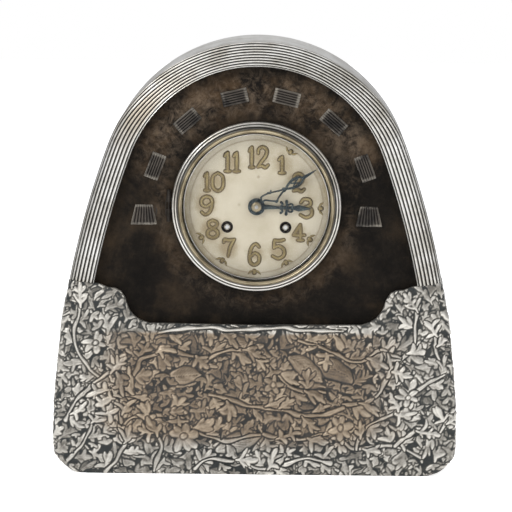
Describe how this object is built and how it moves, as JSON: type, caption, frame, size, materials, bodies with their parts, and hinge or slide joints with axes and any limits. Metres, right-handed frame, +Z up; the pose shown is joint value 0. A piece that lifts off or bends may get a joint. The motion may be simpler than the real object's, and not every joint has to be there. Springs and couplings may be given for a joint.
{
  "type": "arched mantel clock",
  "caption": "Arched mantel clock with a reeded moulding, embossed foliage apron, dark panel, hinged glazed bezel and a striking spring-driven pendulum movement.",
  "frame": {"origin": "middle of the case's footprint, on the surface the clock stands on", "axes": "+Z up, front towards -Y, arbors of the movement along Y"},
  "size_m": [0.304, 0.1435, 0.324],
  "materials": {
    "carcass_wood": "plain stained hardwood",
    "dark_panel": "brown-black patinated sheet, fine mottled grain",
    "silvered_metal": "worn silvered metal with dark recesses",
    "embossed_metal": "embossed silvered metal, warm and worn on its high spots",
    "dial_cream": "aged cream dial",
    "gilt": "dull gilt",
    "brass": "lacquered brass",
    "steel": "polished steel",
    "blued_steel": "blued steel",
    "iron": "painted cast iron",
    "crystal_glass": "clear bevelled glass"
  },
  "bodies": {
    "case": {"base_board": "carcass_wood", "case_shell": "carcass_wood", "front_board": "carcass_wood", "front_panel": "dark_panel", "apron_board": "carcass_wood", "foliage_apron": "embossed_metal", "reeded_moulding": "silvered_metal", "side_cladding": "silvered_metal", "ray_blocks": "silvered_metal", "fan_blocks": "silvered_metal", "back_board": "carcass_wood", "case_hinge_leaves": "brass", "hinge_pins": "steel", "dial_plate": "dial_cream", "dial_rim": "silvered_metal", "winding_eyelets": "blued_steel", "bezel_hinge_leaf": "brass", "bezel_hinge_pin": "steel", "movement_front_plate": "brass", "movement_back_plate": "brass", "plate_pillars": "brass", "movement_spacers": "brass", "minute_wheel_stud": "steel", "click_studs": "steel", "suspension_cock": "brass", "gong_coil": "blued_steel", "gong_post": "iron"},
    "bezel": {"bezel": "silvered_metal", "sight_ring": "gilt", "crystal": "crystal_glass"},
    "back_door": {"back_door": "carcass_wood", "door_hinge_leaves": "brass"},
    "door_catch": {"door_knob": "brass", "door_tongue": "brass"},
    "minute": {"centre_arbor": "steel", "cannon_pinion": "steel", "minute_hand": "blued_steel", "hand_collet": "gilt"},
    "hour": {"hour_wheel": "brass", "hour_hand": "blued_steel"},
    "minute_wheel": {"minute_wheel": "brass"},
    "going_barrel": {"going_barrel": "brass"},
    "going_winder": {"going_winding_arbor": "steel"},
    "third_wheel": {"third_wheel": "brass"},
    "escape_wheel": {"escape_wheel": "brass"},
    "anchor": {"anchor": "steel", "crutch": "steel"},
    "pendulum": {"pendulum_rod": "steel", "pendulum_bob": "brass", "rating_nut": "brass"},
    "strike_barrel": {"strike_barrel": "brass"},
    "strike_winder": {"strike_winding_arbor": "steel"},
    "pin_wheel": {"pin_wheel": "brass"},
    "locking_wheel": {"locking_wheel": "brass"},
    "fly": {"fly": "brass"},
    "hammer": {"hammer": "steel"},
    "going_click": {"going_click": "steel"},
    "strike_click": {"strike_click": "steel"}
  },
  "joints": [
    {"name": "bezel_hinge", "type": "hinge", "parent": "case", "child": "bezel", "pos_m": [-0.0655, -0.056, 0.201], "axis": [0, 0, -1], "range_deg": [0, 100]},
    {"name": "door_hinge", "type": "hinge", "parent": "case", "child": "back_door", "pos_m": [0.0624, 0.06425, 0.14], "axis": [0, 0, -1], "range_deg": [0, 110]},
    {"name": "catch_turn", "type": "hinge", "parent": "back_door", "child": "door_catch", "pos_m": [-0.051, 0.057, 0.14], "axis": [0, -1, 0], "range_deg": [0, 90]},
    {"name": "minute_spin", "type": "hinge", "parent": "case", "child": "minute", "pos_m": [0, 0, 0.201], "axis": [0, 1, 0], "continuous": true},
    {"name": "hour_spin", "type": "hinge", "parent": "case", "child": "hour", "pos_m": [0, 0, 0.201], "axis": [0, 1, 0], "continuous": true},
    {"name": "minute_wheel_spin", "type": "hinge", "parent": "case", "child": "minute_wheel", "pos_m": [0.0072, 0, 0.21347], "axis": [0, 1, 0], "continuous": true},
    {"name": "going_barrel_spin", "type": "hinge", "parent": "case", "child": "going_barrel", "pos_m": [0.0218, 0, 0.1854], "axis": [0, 1, 0], "continuous": true},
    {"name": "going_winder_spin", "type": "hinge", "parent": "case", "child": "going_winder", "pos_m": [0.0218, 0, 0.1854], "axis": [0, 1, 0], "continuous": true},
    {"name": "third_wheel_spin", "type": "hinge", "parent": "case", "child": "third_wheel", "pos_m": [0.01, 0, 0.2206], "axis": [0, 1, 0], "continuous": true},
    {"name": "escape_wheel_spin", "type": "hinge", "parent": "case", "child": "escape_wheel", "pos_m": [0, 0, 0.23556], "axis": [0, 1, 0], "continuous": true},
    {"name": "pendulum_swing", "type": "hinge", "parent": "case", "child": "pendulum", "pos_m": [0, 0, 0.25456], "axis": [0, 1, 0], "range_deg": [-3.5, 3.5]},
    {"name": "anchor_rock", "type": "hinge", "parent": "case", "child": "anchor", "pos_m": [0, 0, 0.25456], "axis": [0, 1, 0], "range_deg": [-3.6, 3.6]},
    {"name": "locking_wheel_spin", "type": "hinge", "parent": "case", "child": "locking_wheel", "pos_m": [-0.02446, 0, 0.22728], "axis": [0, 1, 0], "continuous": true},
    {"name": "pin_wheel_spin", "type": "hinge", "parent": "case", "child": "pin_wheel", "pos_m": [-0.0218, 0, 0.21221], "axis": [0, 1, 0], "continuous": true},
    {"name": "strike_barrel_spin", "type": "hinge", "parent": "case", "child": "strike_barrel", "pos_m": [-0.0218, 0, 0.1854], "axis": [0, 1, 0], "continuous": true},
    {"name": "strike_winder_spin", "type": "hinge", "parent": "case", "child": "strike_winder", "pos_m": [-0.0218, 0, 0.1854], "axis": [0, 1, 0], "continuous": true},
    {"name": "fly_spin", "type": "hinge", "parent": "case", "child": "fly", "pos_m": [-0.01786, 0, 0.23871], "axis": [0, 1, 0], "continuous": true},
    {"name": "hammer_lift", "type": "hinge", "parent": "case", "child": "hammer", "pos_m": [-0.04, 0, 0.209], "axis": [0, 1, 0], "range_deg": [0, 12]},
    {"name": "going_click_lift", "type": "hinge", "parent": "case", "child": "going_click", "pos_m": [0.02755, 0, 0.17544], "axis": [0, 1, 0], "range_deg": [0, 12], "stiffness_Nm_per_rad": 0.002, "springref_deg": -5.73},
    {"name": "strike_click_lift", "type": "hinge", "parent": "case", "child": "strike_click", "pos_m": [-0.01605, 0, 0.17544], "axis": [0, 1, 0], "range_deg": [0, 12], "stiffness_Nm_per_rad": 0.002, "springref_deg": -5.73}
  ],
  "couplings": [
    {"joint": "hour_spin", "follows": "minute_spin", "ratio": 0.083333},
    {"joint": "minute_wheel_spin", "follows": "minute_spin", "ratio": -0.33333},
    {"joint": "going_barrel_spin", "follows": "minute_spin", "ratio": -0.13333},
    {"joint": "third_wheel_spin", "follows": "minute_spin", "ratio": -10},
    {"joint": "escape_wheel_spin", "follows": "minute_spin", "ratio": 90},
    {"joint": "anchor_rock", "follows": "pendulum_swing", "ratio": 1},
    {"joint": "pin_wheel_spin", "follows": "locking_wheel_spin", "ratio": -0.125},
    {"joint": "strike_barrel_spin", "follows": "locking_wheel_spin", "ratio": 0.016667},
    {"joint": "fly_spin", "follows": "locking_wheel_spin", "ratio": -7}
  ]
}
